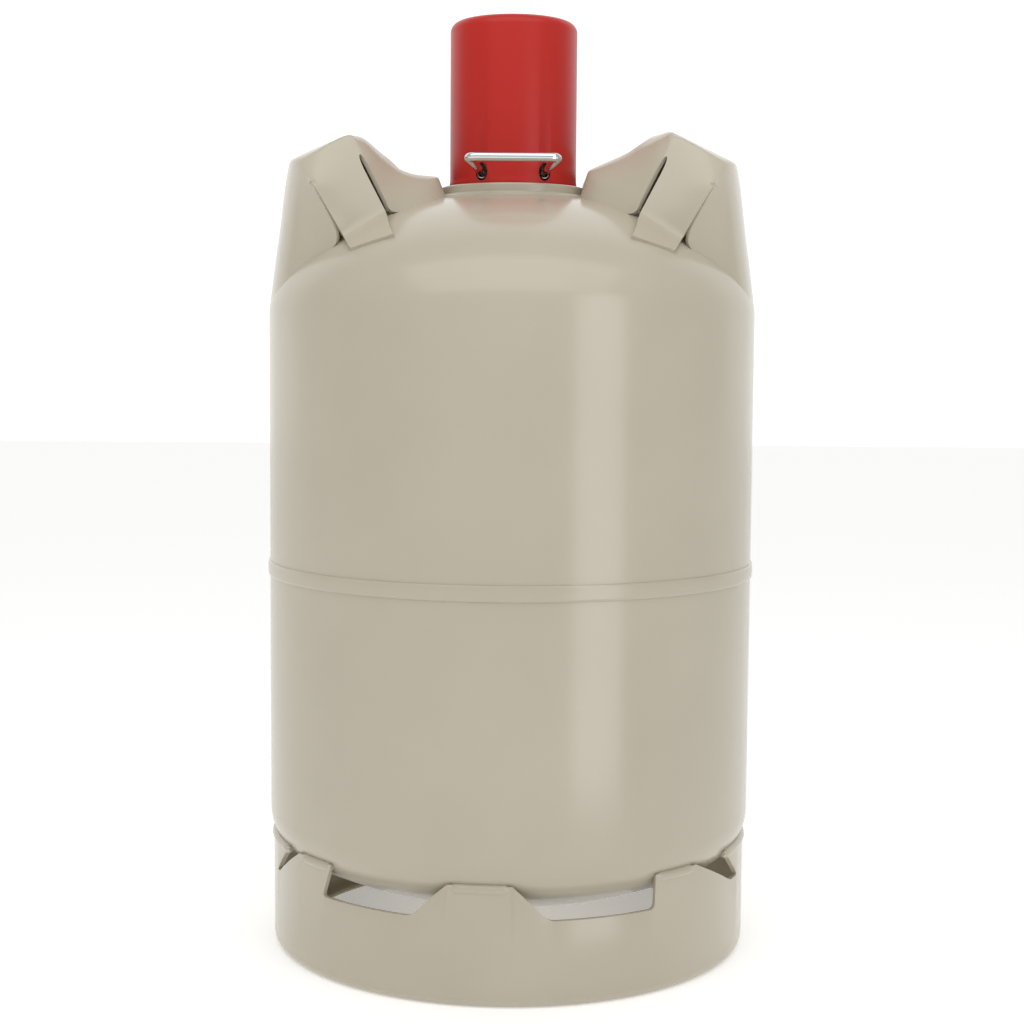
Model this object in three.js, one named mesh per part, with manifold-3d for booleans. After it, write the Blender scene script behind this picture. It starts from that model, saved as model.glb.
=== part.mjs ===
// Refillable steel propane tank for caravans: a deep-drawn two-piece vessel on a vented foot ring,
// with two pressed grips on its shoulder and a screw-on valve cap with a wire bail.
// Units are millimetres, +Z is up, -Y is the front, and the ground is z = 0.
import * as THREE from 'three';
import { mergeVertices } from 'three/addons/utils/BufferGeometryUtils.js';
import Module from 'manifold-3d';

const wasm = await Module();
wasm.setup();

// ---- driving dimensions -------------------------------------------------------------------
const gap = 0.3;               // between pieces that touch
const roundSides = 48;         // facets of the big rings, a multiple of four
const smallSides = 24;         // facets of the valve's small turned pieces

const bodyRadius = 150;
const wall = 3;
const domeDepth = 75;          // of the top end, half an ellipse
const crownRadius = bodyRadius * 2;          // of the bottom end, dished
const knuckleRadius = bodyRadius * 0.2;      // between its crown and the straight wall
const lowerTangent = 85;       // where the bottom end meets the straight wall
const upperTangent = 390;      // where the top end meets the straight wall
const seamHeight = 231.3;      // top edge of the lower shell
const seamOpening = 6.4;       // between the two shells' edges, filled by the weld
const joggleLength = 20;       // of the upper rim inside the lower one
const beadProud = 1.2;
const beadLap = 1.8;           // of the weld's toes on each shell

const footRadius = bodyRadius - 2;
const footSheet = 3;
const footCurl = 8;            // width of the flat ground flange, rolled inward
const footRoll = 6;            // radius of the roll above the ground
const sillHeight = 50;         // lower edge of the vent windows
const lugTop = lowerTangent - 15;
const windowCorner = 2;
// azimuths of each front window's ends, in degrees: left top, left sill, right sill, right top
const frontWindows = [
  [-63, -73, -71, -57], [-44, -47, -22, -13.5], [1, 9, 34.5, 34.8], [47.8, 65.3, 71, 61],
];

const capRadius = 39;
const capSheet = 1.7;
const capHeight = 100.3;
const capEdge = 6;

const threadRise = 14;         // of the cap's thread ring above its rim
const threadLength = 7;

const neckRadius = capRadius + 6;
const neckRise = 3.2;          // of the neck ring's flange above the dome
const collarRadius = capRadius / 1.3;        // over the neck ring's thread
const collarWall = 4;
const collarHeight = 21;

const wireRadius = 2.5;
const bailReach = 36;
const bailBar = 26.5;          // half the bail's bar
const bailFoot = capRadius - 20;           // from the middle to each leg, where it enters the cap
const bailCorner = 6;
const bailTilt = 8;            // degrees above level
const bailHeight = 7;          // of its hinge line above the cap's rim
const headRadius = 3.5;        // of the upset ends that hold it in the cap
const headLength = 1.5;
const headDepth = 5.4;         // of those ends behind the hinge line
const holeHalfWidth = 3.5;
const holeHalfHeight = 5.4;    // tall enough for the bail's swing

const gripSheet = 2.6;
const legAngle = 37;           // of each leg from the grip's middle, in degrees
const slotOuter = 1.2;
const slotInner = 3;
const handHalf = 42;           // half the finger opening's width
const handHeight = 28;
const rightSag = 0;            // of the inner apron, below a straight fall to the neck
const leftSag = 10;

const bossRadius = collarRadius * 0.7;
const portRadius = bossRadius - 4;           // hole in the top dome
const bossHeight = 11;
const stemRadius = portRadius - 4.5;
const outletHeight = 38;       // of the outlet's axis above the dome's top
const outletRadius = 9.5;
const outletReach = collarRadius - 11;
const reliefHeight = 23;
const reliefReach = collarRadius - 7;
const reliefTravel = 1.5;
const discTravel = 4.5;
const wheelRadius = collarRadius - 7;
const wheelHeight = 12;

// ---- places that follow from them ---------------------------------------------------------
const domeTop = upperTangent + domeDepth;
const flangeTop = domeTop + neckRise;
const capRim = flangeTop + gap;
const capTop = capRim + capHeight;
const capInner = capRadius - capSheet;
const hingeRadius = capRadius - capSheet / 2;
const bailPivot = new THREE.Vector3(
  0, -Math.sqrt(hingeRadius ** 2 - bailFoot ** 2), capRim + bailHeight);

const domeRise = (radius) =>
  domeDepth * Math.sqrt(Math.max(0, 1 - (radius / bodyRadius) ** 2));

// ---- from three.js geometry to solids and back ---------------------------------------------
function solidOf(geometry) {
  const bare = geometry.clone();
  bare.deleteAttribute('normal');
  bare.deleteAttribute('uv');
  const welded = mergeVertices(bare, 1e-4);
  const points = welded.attributes.position;
  const faces = [];
  let volume = 0;
  const [a, b, c] = [new THREE.Vector3(), new THREE.Vector3(), new THREE.Vector3()];
  for (let i = 0; i < welded.index.count; i += 3) {
    const [p, q, r] = [0, 1, 2].map((k) => welded.index.getX(i + k));
    if (p === q || q === r || r === p) continue;
    faces.push([p, q, r]);
    a.fromBufferAttribute(points, p);
    b.fromBufferAttribute(points, q);
    c.fromBufferAttribute(points, r);
    volume += a.dot(b.cross(c));
  }
  const outward = volume < 0 ? faces.map(([p, q, r]) => [p, r, q]) : faces;
  return new wasm.Manifold(new wasm.Mesh({
    numProp: 3,
    vertProperties: new Float32Array(points.array),
    triVerts: new Uint32Array(outward.flat()),
  }));
}

function geometryOf(solid) {
  const mesh = solid.getMesh();
  const geometry = new THREE.BufferGeometry();
  geometry.setAttribute('position', new THREE.BufferAttribute(mesh.vertProperties, 3));
  geometry.setIndex(new THREE.BufferAttribute(mesh.triVerts, 1));
  geometry.computeVertexNormals();
  return geometry;
}

const tank = new THREE.Group();
function add(name, solid, finish) {
  const mesh = new THREE.Mesh(geometryOf(solid), new THREE.MeshStandardMaterial(finish));
  mesh.name = name;
  tank.add(mesh);
}

const paint = { color: 0xbbb4a4, roughness: 0.35, metalness: 0.0 };
const redPaint = { color: 0xb4372d, roughness: 0.4, metalness: 0.0 };
const chrome = { color: 0xc8c8c8, roughness: 0.15, metalness: 1.0 };
const brass = { color: 0xb08d57, roughness: 0.35, metalness: 1.0 };
const steel = { color: 0x8f9296, roughness: 0.4, metalness: 1.0 };
const rubber = { color: 0x1c1c1c, roughness: 0.8, metalness: 0.0 };
const plastic = { color: 0x23262a, roughness: 0.6, metalness: 0.0 };

// ---- shape helpers --------------------------------------------------------------------------
const degrees = THREE.MathUtils.degToRad;

// points of an elliptic arc in the (radius, height) plane
function arc(centreR, centreZ, radiusR, radiusZ, from, to, steps) {
  return Array.from({ length: steps + 1 }, (_, i) => {
    const angle = degrees(from + (to - from) * i / steps);
    return [centreR + radiusR * Math.cos(angle), centreZ + radiusZ * Math.sin(angle)];
  });
}

// a solid of revolution about Z; the profile closes on itself or ends on the axis at both ends
function turned(profile, sides = roundSides) {
  const closed = profile[0][0] > 0 ? [...profile, profile[0]] : profile;
  const points = closed.map(([r, z]) => new THREE.Vector2(Math.max(r, 0), z));
  return solidOf(new THREE.LatheGeometry(points, sides).rotateX(Math.PI / 2));
}

function cylinder(radius, z0, z1, sides = smallSides) {
  return turned([[0, z0], [radius, z0], [radius, z1], [0, z1]], sides);
}

// the same, lying along Y from y0 to y1 at height z
function crossCylinder(radius, y0, y1, z, sides = smallSides) {
  return cylinder(radius, -y1, -y0, sides).rotate([90, 0, 0]).translate([0, 0, z]);
}

// the bottom end's outline, grown by a margin, from the axis up to the straight wall
function lowerOutline(margin, steps = 6) {
  const across = bodyRadius - knuckleRadius;
  const slant = crownRadius - knuckleRadius;
  const turn = Math.asin(across / slant) * 180 / Math.PI;
  const centre = lowerTangent + Math.sqrt(slant ** 2 - across ** 2);
  const [crown, knuckle] = [crownRadius + margin, knuckleRadius + margin];
  return [
    ...arc(0, centre, crown, crown, -90, turn - 90, steps),
    ...arc(across, lowerTangent, knuckle, knuckle, turn - 90, 0, steps).slice(1),
  ];
}

// the space that a piece on a dome keeps clear of: the vessel, grown by a margin
function vesselSpace(margin) {
  const lower = lowerOutline(margin);
  const upper = arc(0, upperTangent, bodyRadius + margin, domeDepth + margin, 0, 90, 16);
  return turned([...lower, ...upper]);
}

// ---- the vessel -----------------------------------------------------------------------------
function lowerShell() {
  const inside = lowerOutline(-wall).reverse();
  return turned([
    ...lowerOutline(0), [bodyRadius, seamHeight], [bodyRadius - wall, seamHeight], ...inside,
  ]);
}

function upperShell() {
  const shoulder = seamHeight + seamOpening;
  const joggle = bodyRadius - wall - gap;
  const rim = seamHeight - joggleLength;
  const portEdge = Math.acos(portRadius / bodyRadius) * 180 / Math.PI;
  const portInside = Math.acos(portRadius / (bodyRadius - wall)) * 180 / Math.PI;
  return turned([
    [joggle - wall, rim], [joggle, rim], [joggle, shoulder], [bodyRadius, shoulder],
    ...arc(0, upperTangent, bodyRadius, domeDepth, 0, portEdge, 8),
    ...arc(0, upperTangent, bodyRadius - wall, domeDepth - wall, portInside, 0, 8),
    [bodyRadius - wall, shoulder + wall], [joggle - wall, shoulder - gap],
  ]);
}

function girthWeld() {
  const root = bodyRadius - wall + gap / 2;
  const [low, high] = [seamHeight + gap, seamHeight + seamOpening - gap];
  const face = bodyRadius + gap;
  const crown = bodyRadius + beadProud;
  return turned([
    [root, low], [face, low], [face, low - beadLap], [crown, low],
    [crown, high], [face, high + beadLap], [face, high], [root, high],
  ]);
}

// ---- foot ring: a rolled strip with windows between the lugs that carry the vessel -------------
function footRing() {
  const inner = footRadius - footSheet;
  const flange = footRadius - footRoll - footCurl;
  let ring = turned([
    [flange, 0], ...arc(footRadius - footRoll, footRoll, footRoll, footRoll, -90, 0, 3),
    [footRadius, sillHeight - 4], [footRadius, lugTop], [inner, lugTop], [inner, sillHeight - 4],
    ...arc(footRadius - footRoll, footRoll, footRoll - footSheet, footRoll - footSheet, 0, -90, 3),
    [flange, footSheet],
  ]);
  for (const ends of windows()) ring = ring.subtract(windowCutter(ends));
  return ring.subtract(vesselSpace(gap));
}

// the rear windows mirror the front ones
function windows() {
  const rear = frontWindows.map((ends) => ends.map((turn) => 180 - turn).reverse());
  return [...frontWindows, ...rear];
}

// a window's punch, open above the lug tops, with the ends' slopes carried on
function windowCutter([leftTop, leftSill, rightSill, rightTop]) {
  const middle = (leftSill + rightSill) / 2;
  const across = (turn) => footRadius * Math.sin(degrees(turn - middle));
  const rise = lugTop - sillHeight;
  const roof = lugTop + windowCorner * 2;
  const end = (sill, top, height) =>
    across(sill) + (across(top) - across(sill)) * (height - sillHeight) / rise;
  const [left, right] = [across(leftSill), across(rightSill)];
  const bend = sillHeight + windowCorner;
  const outline = new THREE.Shape();
  outline.moveTo(end(leftSill, leftTop, roof), roof);
  outline.lineTo(end(leftSill, leftTop, bend), bend);
  outline.quadraticCurveTo(left, sillHeight, left + windowCorner, sillHeight);
  outline.lineTo(right - windowCorner, sillHeight);
  outline.quadraticCurveTo(right, sillHeight, end(rightSill, rightTop, bend), bend);
  outline.lineTo(end(rightSill, rightTop, roof), roof);
  const depth = bodyRadius / 3;
  const prism = new THREE.ExtrudeGeometry(outline, { depth, bevelEnabled: false, curveSegments: 3 });
  prism.rotateX(Math.PI / 2).translate(0, -footRadius + depth * 0.7, 0).rotateZ(degrees(middle));
  return solidOf(prism);
}

// ---- grips: pressed hoods on the shoulder ---------------------------------------------------
// Each level is half a loop, from the outer side round the front leg to the inner side, as
// [degrees from the grip's middle, inset from the body's radius, rise above the dome].
const gripLevels = (sag) => [
  [[0, -0.2, 8], [10, -0.2, 8], [19.5, 0.3, 4], [25, 7, -3], [31, 19, -3], [legAngle, 25, -4],
    [legAngle, 57, -4], [legAngle - 1, 66, -4], [32, 84, -4], [20, 98, -4], [0, 102, -3]],
  [[0, 6.5, 34], [10, 6.3, 34], [19.5, 5.5, 38], [25, 5, 43], [31, 5, 49], [legAngle, 5.5, 54],
    [legAngle, 36, 41.3], [legAngle - 1, 54, 28 - sag / 2], [30, 68, 25 - sag],
    [18, 82, 23 - sag], [0, 90, 20 - sag]],
  [[0, 15.5, 55.8], [9, 14.2, 57], [17.5, 10.5, 61], [24, 7.2, 65], [28.5, 5.5, 67.5],
    [32, 10.7, 64], [35, 29.6, 57.5], [33, 37.4, 54.6], [26, 45, 51], [13, 51.5, 48],
    [0, 53, 47.3]],
];

function gripPoint([turn, inset, rise], side) {
  const radius = bodyRadius - inset;
  const angle = degrees(turn) * side;
  return new THREE.Vector3(
    radius * Math.cos(angle), -radius * Math.sin(angle), upperTangent + domeRise(radius) + rise);
}

function gripLoops(sag) {
  return gripLevels(sag).map((half) => {
    const front = half.map((place) => gripPoint(place, 1));
    const rear = half.slice(1, -1).reverse().map((place) => gripPoint(place, -1));
    return [...front, ...rear];
  });
}

// the same loops, one sheet thickness inside
function insideLoops(loops, thickness) {
  return loops.map((loop, level) => loop.map((point, i) => {
    const before = loop.at(i - 1);
    const after = loop[(i + 1) % loop.length];
    const along = new THREE.Vector2(after.x - before.x, after.y - before.y).normalize();
    const drop = [12, 0, thickness][level];
    return new THREE.Vector3(
      point.x + along.y * thickness, point.y - along.x * thickness, point.z - drop);
  }));
}

// a closed solid through a stack of loops, with a fan over each end
function loft(loops) {
  const count = loops[0].length;
  const points = loops.flat();
  const faces = [];
  for (let level = 0; level + 1 < loops.length; level += 1) {
    for (let i = 0; i < count; i += 1) {
      const [p, q] = [level * count + i, level * count + (i + 1) % count];
      faces.push(p, q, q + count, p, q + count, p + count);
    }
  }
  for (const [loop, start, flip] of [[loops[0], 0, 1], [loops.at(-1), points.length - count, 0]]) {
    const centre = loop.reduce((sum, point) => sum.add(point), new THREE.Vector3());
    points.push(centre.divideScalar(count));
    for (let i = 0; i < count; i += 1) {
      const edge = [start + i, start + (i + 1) % count];
      faces.push(edge[flip], edge[1 - flip], points.length - 1);
    }
  }
  const geometry = new THREE.BufferGeometry().setFromPoints(points);
  geometry.setIndex(faces);
  return solidOf(geometry);
}

// the slits beside a leg, which lies in a radial plane and stands square to the dome
function legSlots(side) {
  const outer = [[legAngle, 25, 0], [legAngle, 5.5, 54], slotOuter];
  const inner = [[legAngle, 57, 0], [legAngle, 36, 41.3], slotInner];
  const angle = degrees(legAngle);
  const normal = new THREE.Vector3(-Math.sin(angle), -side * Math.cos(angle), 0);
  return [outer, inner].map(([low, high, width]) => {
    const [foot, top] = [gripPoint(low, side), gripPoint(high, side)];
    const up = top.clone().sub(foot);
    const length = up.length() * 1.2;
    const across = new THREE.Vector3().crossVectors(up.normalize(), normal).normalize();
    const square = new THREE.Vector3().crossVectors(across, up);
    const basis = new THREE.Matrix4().makeBasis(across, up, square);
    const middle = foot.clone().addScaledVector(up, length * 0.4);
    const cutter = new THREE.BoxGeometry(width, length, 12).applyMatrix4(basis);
    return solidOf(cutter.translate(middle.x, middle.y, middle.z));
  });
}

// the foot that a leg turns forward on to the dome, to be welded there
function legFoot(side) {
  const plan = [[legAngle + 1, 24], [44, 16], [52, 15], [58, 22], [legAngle + 5, 54],
    [legAngle - 3, 57], [legAngle - 3, 26]];
  const corners = plan.map(([turn, inset]) => gripPoint([turn, inset, 0], side));
  const shape = new THREE.Shape(corners.map((corner) => new THREE.Vector2(corner.x, corner.y)));
  const prism = new THREE.ExtrudeGeometry(shape, { depth: domeDepth * 2, bevelEnabled: false });
  return solidOf(prism.translate(0, 0, upperTangent)).intersect(vesselSpace(gap + gripSheet)).subtract(vesselSpace(gap));
}

// the finger opening, square to the inner apron
function handCutter(sag) {
  const [low, high] = gripLevels(sag).slice(1).map((half) => gripPoint(half.at(-1), 1));
  const slope = Math.atan2(high.z - low.z, high.x - low.x);
  const radius = handHeight / 2;
  const outline = new THREE.Shape();
  outline.absarc(0, handHalf - radius, radius, 0, Math.PI, false);
  outline.absarc(0, radius - handHalf, radius, Math.PI, Math.PI * 2, false);
  const prism = new THREE.ExtrudeGeometry(outline, { depth: 30, bevelEnabled: false, curveSegments: 6 });
  prism.translate(0, 0, -15).rotateY(-slope);
  return solidOf(prism.translate((low.x + high.x) / 2, 0, (low.z + high.z) / 2));
}

function grip(sag) {
  const loops = gripLoops(sag);
  let hood = loft(loops).subtract(loft(insideLoops(loops, gripSheet)));
  hood = hood.subtract(vesselSpace(gap)).subtract(handCutter(sag));
  for (const side of [1, -1]) {
    for (const slot of legSlots(side)) hood = hood.subtract(slot);
  }
  return hood.add(legFoot(1)).add(legFoot(-1));
}

// ---- neck ring and cap ----------------------------------------------------------------------
function neckRing() {
  const bore = collarRadius - collarWall;
  const under = flangeTop - 14;
  return turned([
    [bore, under], [neckRadius, under], [neckRadius, flangeTop - 1.2], [neckRadius - 1.2, flangeTop],
    [collarRadius, flangeTop], [collarRadius, flangeTop + collarHeight], [bore, flangeTop + collarHeight],
  ]).subtract(vesselSpace(gap));
}

function redCap() {
  const crown = capTop - capEdge;
  const inside = capEdge - capSheet;
  const hole = crossCylinder(1, -capRadius - 1, bailPivot.y / 2, 0)
    .scale([holeHalfWidth, 1, holeHalfHeight]);
  return turned([
    [0, capTop], ...arc(capRadius - capEdge, crown, capEdge, capEdge, 90, 0, 4), [capRadius, capRim],
    [capInner, capRim], ...arc(capRadius - capEdge, crown, inside, inside, 0, 90, 4),
    [0, capTop - capSheet],
  ]).subtract(hole.translate([bailFoot, 0, bailPivot.z]))
    .subtract(hole.translate([-bailFoot, 0, bailPivot.z]));
}

function capThreadRing() {
  const [inner, outer] = [collarRadius + gap, capInner - gap];
  const [low, high] = [capRim + threadRise, capRim + threadRise + threadLength];
  return turned([[inner, low], [outer, low], [outer, high], [inner, high]]);
}

// a bent wire whose upset ends sit behind the cap's wall, its bar toward -Y
function wireBail() {
  const leg = new THREE.Path([new THREE.Vector2(bailFoot, 0)]);
  const corner = new THREE.Vector2(bailBar, -bailReach);
  const start = new THREE.Vector2(bailFoot, 0).sub(corner).setLength(bailCorner).add(corner);
  leg.lineTo(start.x, start.y);
  leg.quadraticCurveTo(corner.x, corner.y, corner.x - bailCorner, corner.y);
  const right = leg.getPoints(4).map((point) => ({ point, radius: wireRadius }));
  const shank = [[headDepth, headRadius], [headDepth - headLength, headRadius],
    [headDepth - headLength, wireRadius]];
  const tail = shank.map(([y, radius]) => ({ point: new THREE.Vector2(bailFoot, y), radius }));
  const half = [...tail, ...right];
  const mirrored = half.map(({ point, radius }) =>
    ({ point: new THREE.Vector2(-point.x, point.y), radius })).reverse();
  const route = [...half, ...mirrored];
  const loops = route.map(({ point, radius }, i) => {
    const before = route[Math.max(i - 2, 0)].point;
    const after = route[Math.min(i + 2, route.length - 1)].point;
    const across = new THREE.Vector2(after.y - before.y, before.x - after.x).normalize();
    return Array.from({ length: 8 }, (_, k) => {
      const angle = k * Math.PI / 4;
      const side = radius * Math.cos(angle);
      return new THREE.Vector3(
        point.x + across.x * side, point.y + across.y * side, radius * Math.sin(angle));
    });
  });
  return loft(loops).rotate([-bailTilt, 0, 0]).translate(bailPivot.toArray());
}

// ---- the valve ------------------------------------------------------------------------------
const bossTop = domeTop + bossHeight;
const outletZ = domeTop + outletHeight;
const reliefZ = domeTop + reliefHeight;
const chamberRadius = 8;
const chamberFloor = outletZ - 10;
const bodyTop = outletZ + 12;
const bonnetPlug = 4;          // of the bonnet nut, down inside the chamber
const spindleRadius = 3.7;
const wheelBase = bodyTop + 14;

function valveBoss() {
  return turned([
    [stemRadius + gap, domeTop - wall * 2], [portRadius - gap, domeTop - wall * 2],
    [portRadius - gap, domeTop + gap], [bossRadius, domeTop + gap], [bossRadius, bossTop],
    [stemRadius + gap, bossTop],
  ]);
}

function bossWeld() {
  const leg = 3.5;
  const root = bossRadius + gap;
  return turned([[root, domeTop - leg * 2], [root + leg, domeTop - leg * 2],
    [root + leg, domeTop - 1], [root, domeTop + leg]]).subtract(vesselSpace(gap));
}

const reliefBore = 6;
const reliefSeat = stemRadius - 5;           // from the valve's axis

function valveBody() {
  const seat = bossTop + gap;
  return turned([
    [0, domeTop - 12], [stemRadius, domeTop - 12], [stemRadius, seat], [stemRadius + 3, seat],
    [stemRadius + 3, seat + 9], [stemRadius, seat + 10], [stemRadius, bodyTop], [0, bodyTop],
  ], smallSides)
    .add(crossCylinder(outletRadius, -outletReach, 0, outletZ))
    .add(crossCylinder(reliefBore + 2.5, 0, reliefReach, reliefZ))
    .subtract(cylinder(3.5, 0, chamberFloor + 1))
    .subtract(cylinder(chamberRadius, chamberFloor, bodyTop + 1))
    .subtract(crossCylinder(5, -outletReach - 1, 0, outletZ))
    .subtract(crossCylinder(2, 0, reliefSeat + 1, reliefZ))
    .subtract(crossCylinder(reliefBore, reliefSeat, reliefReach + 1, reliefZ));
}

function bonnetNut() {
  const plugRadius = chamberRadius - gap;
  return turned([
    [0, bodyTop - bonnetPlug], [plugRadius, bodyTop - bonnetPlug], [plugRadius, bodyTop + gap],
    [0, bodyTop + gap],
  ], smallSides)
    .add(cylinder(12, bodyTop + gap, bodyTop + 11, 6))
    .subtract(cylinder(spindleRadius + gap, bodyTop - bonnetPlug - 1, bodyTop + 12))
    .subtract(cylinder(6.1, bodyTop + 4, bodyTop + 7));
}

function spindleRing() {
  const section = 0.9;
  return turned(arc(spindleRadius + gap + section, bodyTop + 5.5, section, section, 0, 315, 7),
    smallSides);
}

function upperSpindle() {
  const tip = bodyTop - bonnetPlug + 1;
  return turned([
    [0, tip - 8.5], [2.8, tip - 8.5], [2.8, tip], [spindleRadius, tip],
    [spindleRadius, wheelBase + wheelHeight], [0, wheelBase + wheelHeight],
  ], smallSides).subtract(cylinder(1.8, wheelBase + 2, wheelBase + wheelHeight + 1));
}

function lowerSpindle() {
  const base = chamberFloor + 2.6;
  const top = bodyTop - bonnetPlug - discTravel - 0.5;
  return cylinder(chamberRadius - gap, base, top).subtract(cylinder(3.3, base + 2.4, top + 1));
}

function seatDisc() {
  return turned([[2, chamberFloor + gap], [6.5, chamberFloor + gap], [6.5, chamberFloor + 2.3],
    [2, chamberFloor + 2.3]], smallSides);
}

function handwheel() {
  const top = wheelBase + wheelHeight;
  let wheel = turned([
    [spindleRadius + gap, wheelBase], [8, wheelBase], [8, top - 4], [wheelRadius - 4, top - 4],
    [wheelRadius - 3, wheelBase], [wheelRadius, wheelBase + 1], [wheelRadius, top - 1.5],
    [wheelRadius - 1.5, top], [spindleRadius + gap, top],
  ], 36);
  for (let i = 0; i < 6; i += 1) {
    const angle = i * Math.PI / 3;
    const bite = cylinder(7, wheelBase - 1, top + 1, 16);
    const reach = wheelRadius + 5;
    wheel = wheel.subtract(bite.translate([reach * Math.cos(angle), reach * Math.sin(angle), 0]));
  }
  return wheel;
}

function wheelScrew() {
  const top = wheelBase + wheelHeight;
  return turned([[0, wheelBase + 3], [1.5, wheelBase + 3], [1.5, top + gap], [5.2, top + gap],
    [4.6, top + 3], [0, top + 3.4]], smallSides);
}

const sealThickness = 1.5;

function outletPlug() {
  const depth = outletReach + gap + sealThickness + gap;
  return crossCylinder(outletRadius + 3, -depth - 3, 3 - outletReach, outletZ, 6)
    .subtract(crossCylinder(outletRadius + gap, -depth, 0, outletZ));
}

function outletSeal() {
  const face = -outletReach - gap;
  return crossCylinder(outletRadius - 1, face - sealThickness, face, outletZ);
}

const poppetFace = reliefSeat + gap + sealThickness + gap;
const poppetBack = poppetFace + 3;
const reliefCapInner = poppetBack + 7;

function reliefSeal() {
  return crossCylinder(4.5, reliefSeat + gap, poppetFace - gap, reliefZ);
}

function reliefPoppet() {
  return crossCylinder(reliefBore - gap, poppetFace, poppetBack, reliefZ)
    .add(crossCylinder(1.8, poppetBack - 1, reliefCapInner - 1, reliefZ, 12));
}

function reliefCap() {
  return crossCylinder(reliefBore - gap, reliefCapInner, reliefReach + 1.5, reliefZ)
    .subtract(crossCylinder(2.4, reliefCapInner - 1, reliefReach + 2, reliefZ, 12));
}

function reliefSpring() {
  const turns = 2.5;
  const wire = 0.5;
  const from = poppetBack + gap + wire;
  const to = reliefCapInner - gap - wire - reliefTravel;
  class Coil extends THREE.Curve {
    getPoint(t, target = new THREE.Vector3()) {
      const angle = t * turns * Math.PI * 2;
      return target.set(4.3 * Math.cos(angle), from + (to - from) * t, 4.3 * Math.sin(angle));
    }
  }
  const section = new THREE.Shape();
  section.absarc(0, 0, wire, 0, Math.PI * 2, false);
  const coil = new THREE.ExtrudeGeometry(section, {
    extrudePath: new Coil(), steps: turns * 12, curveSegments: 4, bevelEnabled: false,
  });
  return solidOf(coil.translate(0, 0, reliefZ));
}

// ---- assembly ---------------------------------------------------------------------------------
add('lower_shell', lowerShell(), paint);
add('upper_shell', upperShell(), paint);
add('girth_weld', girthWeld(), paint);
add('foot_ring', footRing(), paint);
add('right_grip', grip(rightSag), paint);
add('left_grip', grip(leftSag).rotate([0, 0, 180]), paint);
add('neck_ring', neckRing(), paint);
add('red_cap', redCap(), redPaint);
add('cap_thread_ring', capThreadRing(), steel);
add('wire_bail', wireBail(), chrome);
add('valve_boss', valveBoss(), steel);
add('boss_weld', bossWeld(), steel);
add('valve_body', valveBody(), brass);
add('bonnet_nut', bonnetNut(), brass);
add('spindle_ring', spindleRing(), rubber);
add('upper_spindle', upperSpindle(), brass);
add('lower_spindle', lowerSpindle(), brass);
add('seat_disc', seatDisc(), rubber);
add('handwheel', handwheel(), plastic);
add('wheel_screw', wheelScrew(), steel);
add('outlet_plug', outletPlug(), brass);
add('outlet_seal', outletSeal(), rubber);
add('relief_seal', reliefSeal(), rubber);
add('relief_poppet', reliefPoppet(), brass);
add('relief_spring', reliefSpring(), steel);
add('relief_cap', reliefCap(), brass);

export default tank;
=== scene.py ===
"""A painted steel propane cylinder with a foot ring, two shoulder grips and a red valve cap.

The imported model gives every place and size; each section below builds the fine surface of one
piece, or of a group of like pieces, round it. Lengths are metres unless a name says otherwise.
"""

import math

import bmesh
import bpy
from mathutils import Matrix, Vector


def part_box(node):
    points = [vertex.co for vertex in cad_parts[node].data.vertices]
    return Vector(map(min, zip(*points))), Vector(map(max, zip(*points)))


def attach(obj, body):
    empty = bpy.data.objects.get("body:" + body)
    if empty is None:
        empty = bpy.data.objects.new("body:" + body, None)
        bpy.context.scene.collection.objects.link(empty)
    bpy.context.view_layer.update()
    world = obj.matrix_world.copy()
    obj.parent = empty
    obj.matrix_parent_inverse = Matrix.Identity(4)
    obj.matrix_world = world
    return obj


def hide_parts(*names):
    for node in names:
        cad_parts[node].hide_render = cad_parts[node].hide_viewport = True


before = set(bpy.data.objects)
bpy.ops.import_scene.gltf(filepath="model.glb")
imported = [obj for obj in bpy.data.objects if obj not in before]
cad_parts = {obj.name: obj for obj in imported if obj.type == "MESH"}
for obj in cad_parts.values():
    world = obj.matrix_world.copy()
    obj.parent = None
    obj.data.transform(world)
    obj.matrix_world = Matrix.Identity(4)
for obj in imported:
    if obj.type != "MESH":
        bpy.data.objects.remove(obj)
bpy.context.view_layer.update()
MM = 0.001


# ---- vessel, lower half --------------------------------------------------------------------
# A cup deep drawn from 3 mm steel plate, its bottom a shallow crown with a tight knuckle. It is
# sprayed with the rest of the cylinder, after welding, in one coat of stoved grey enamel.
def deselect():
    if bpy.context.object and bpy.context.object.mode != "OBJECT":
        bpy.ops.object.mode_set(mode="OBJECT")
    bpy.ops.object.select_all(action="DESELECT")


def arc(centre, radii, start, end, steps):
    """Points of an elliptic arc in the (radius, height) plane, angles in degrees."""
    angles = [math.radians(start + (end - start) * i / steps) for i in range(steps + 1)]
    return [(centre[0] + radii[0] * math.cos(a), centre[1] + radii[1] * math.sin(a)) for a in angles]


def vertex_piece(name, start):
    """A new piece that is one vertex, in edit mode, ready to be drawn out."""
    deselect()
    bpy.ops.mesh.primitive_plane_add(size=MM)
    piece = bpy.context.object
    piece.name = piece.data.name = name
    bpy.ops.object.mode_set(mode="EDIT")
    bpy.ops.mesh.merge(type="CENTER")
    bpy.ops.transform.translate(value=start)
    return piece


def smooth(piece, sharp=32):
    bpy.ops.object.mode_set(mode="OBJECT")
    bpy.ops.object.shade_smooth_by_angle(angle=math.radians(sharp))
    return piece


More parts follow.
